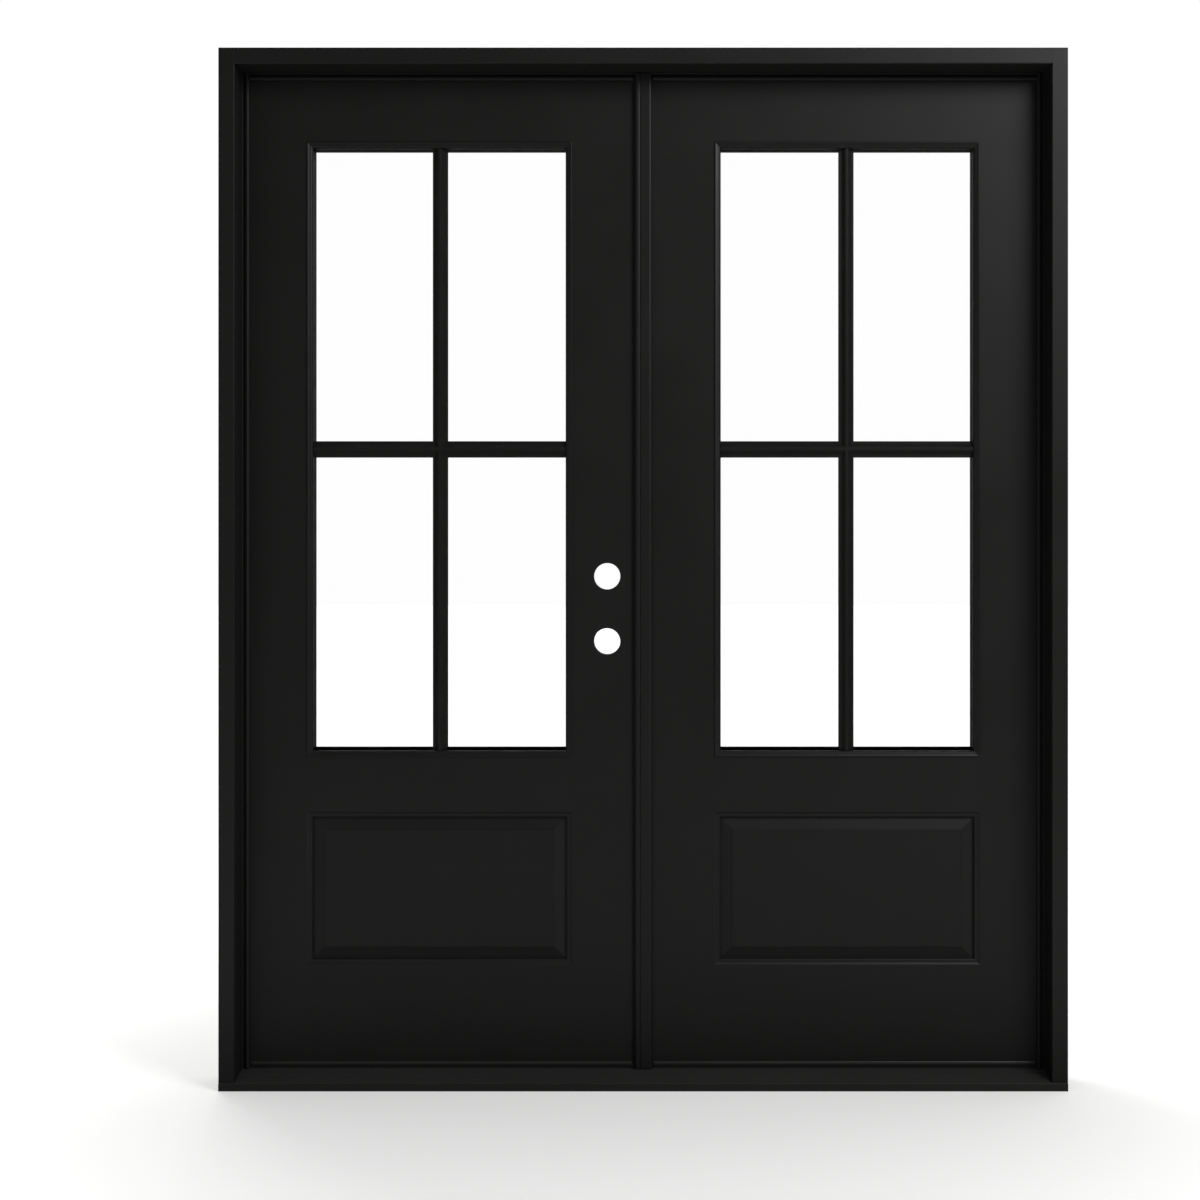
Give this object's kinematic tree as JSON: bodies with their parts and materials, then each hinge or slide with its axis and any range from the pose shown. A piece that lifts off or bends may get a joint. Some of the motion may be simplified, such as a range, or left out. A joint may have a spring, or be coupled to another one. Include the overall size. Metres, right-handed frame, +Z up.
{
  "type": "prehung french door unit",
  "caption": "Prehung inswing french doors in satin black: divided lites over raised panels, lock bores, an astragal with flush bolts, butt hinges, seals and a sloped sill.",
  "frame": {"origin": "middle of the underside of the sill, half-way through the jambs' depth", "axes": "+X to the right seen from outdoors, +Y into the room, +Z up"},
  "size_m": [1.69, 0.1312, 2.076],
  "materials": {
    "satin_black": "satin paint",
    "black_composite": "matte",
    "black_anodised": "satin anodised",
    "black_seal": "matte",
    "black_steel": "satin",
    "satin_steel": "brushed",
    "zinc_screws": "plated",
    "clear_glass": "clear",
    "spacer_metal": "mill"
  },
  "bodies": {
    "frame": {"left_jamb": "satin_black", "right_jamb": "satin_black", "head_jamb": "satin_black", "sill_base": "black_composite", "sill_deck": "black_anodised", "threshold_cap": "black_composite", "left_jamb_seal": "black_seal", "right_jamb_seal": "black_seal", "head_seal": "black_seal", "left_frame_hinge_top": "black_steel", "left_frame_hinge_middle": "black_steel", "left_frame_hinge_bottom": "black_steel", "right_frame_hinge_top": "black_steel", "right_frame_hinge_middle": "black_steel", "right_frame_hinge_bottom": "black_steel", "left_hinge_pins": "black_steel", "right_hinge_pins": "black_steel", "left_jamb_screws": "black_steel", "right_jamb_screws": "black_steel", "head_bolt_strike": "satin_steel", "sill_bolt_strike": "satin_steel", "strike_screws": "zinc_screws", "frame_screws": "zinc_screws"},
    "left_leaf": {"left_slab": "satin_black", "left_outdoor_lite_frame": "satin_black", "left_indoor_lite_frame": "satin_black", "left_outer_pane": "clear_glass", "left_inner_pane": "clear_glass", "left_glass_spacer": "spacer_metal", "left_outdoor_bars": "satin_black", "left_indoor_bars": "satin_black", "left_sweep": "black_seal", "left_leaf_hinge_top": "black_steel", "left_leaf_hinge_middle": "black_steel", "left_leaf_hinge_bottom": "black_steel", "left_leaf_screws": "black_steel"},
    "right_leaf": {"right_slab": "satin_black", "right_outdoor_lite_frame": "satin_black", "right_indoor_lite_frame": "satin_black", "right_outer_pane": "clear_glass", "right_inner_pane": "clear_glass", "right_glass_spacer": "spacer_metal", "right_outdoor_bars": "satin_black", "right_indoor_bars": "satin_black", "right_sweep": "black_seal", "right_leaf_hinge_top": "black_steel", "right_leaf_hinge_middle": "black_steel", "right_leaf_hinge_bottom": "black_steel", "right_leaf_screws": "black_steel", "astragal_face": "satin_black", "astragal_web": "satin_black", "astragal_seal": "black_seal", "astragal_screws": "zinc_screws", "astragal_strikes": "satin_steel", "bolt_guides": "black_composite"},
    "top_flush_bolt": {"top_flush_bolt": "satin_steel"},
    "bottom_flush_bolt": {"bottom_flush_bolt": "satin_steel"}
  },
  "joints": [
    {"name": "left_swing", "type": "hinge", "parent": "frame", "child": "left_leaf", "pos_m": [-0.8245, 0.065, 1.0985], "axis": [0, 0, 1], "range_deg": [0, 170]},
    {"name": "right_swing", "type": "hinge", "parent": "frame", "child": "right_leaf", "pos_m": [0.8245, 0.065, 1.0985], "axis": [0, 0, -1], "range_deg": [0, 170]},
    {"name": "top_bolt_slide", "type": "slide", "parent": "right_leaf", "child": "top_flush_bolt", "axis": [0, 0, 1], "range_m": [0, 0.018]},
    {"name": "bottom_bolt_slide", "type": "slide", "parent": "right_leaf", "child": "bottom_flush_bolt", "axis": [0, 0, -1], "range_m": [0, 0.022]}
  ]
}
